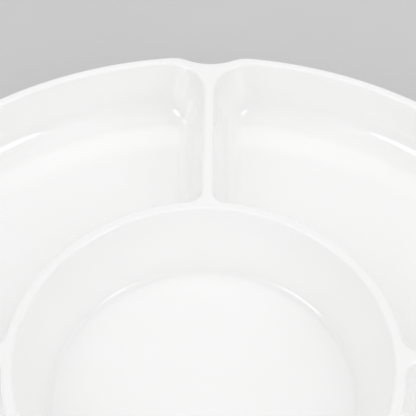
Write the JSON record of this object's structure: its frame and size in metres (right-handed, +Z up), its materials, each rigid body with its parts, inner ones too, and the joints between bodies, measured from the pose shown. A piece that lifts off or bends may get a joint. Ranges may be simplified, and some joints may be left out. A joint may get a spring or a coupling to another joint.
{
  "type": "chip and dip server",
  "caption": "Round moulded serving tray with a sunken dip bowl in the middle, ringed by divided snack compartments, standing on rubber foot pads.",
  "frame": {"origin": "centre of the server on the surface it stands on, at the bottom of the foot pads", "axes": "+Z up out of the bowl and compartments; two of the dividers lie along X and two along Y"},
  "size_m": [0.3282, 0.3282, 0.038],
  "materials": {
    "white_melamine": "high gloss, moulded",
    "foot_rubber": "matt"
  },
  "bodies": {
    "root": {"tray": "white_melamine", "foot_pad_1": "foot_rubber", "foot_pad_2": "foot_rubber", "foot_pad_3": "foot_rubber", "foot_pad_4": "foot_rubber"}
  },
  "joints": []
}
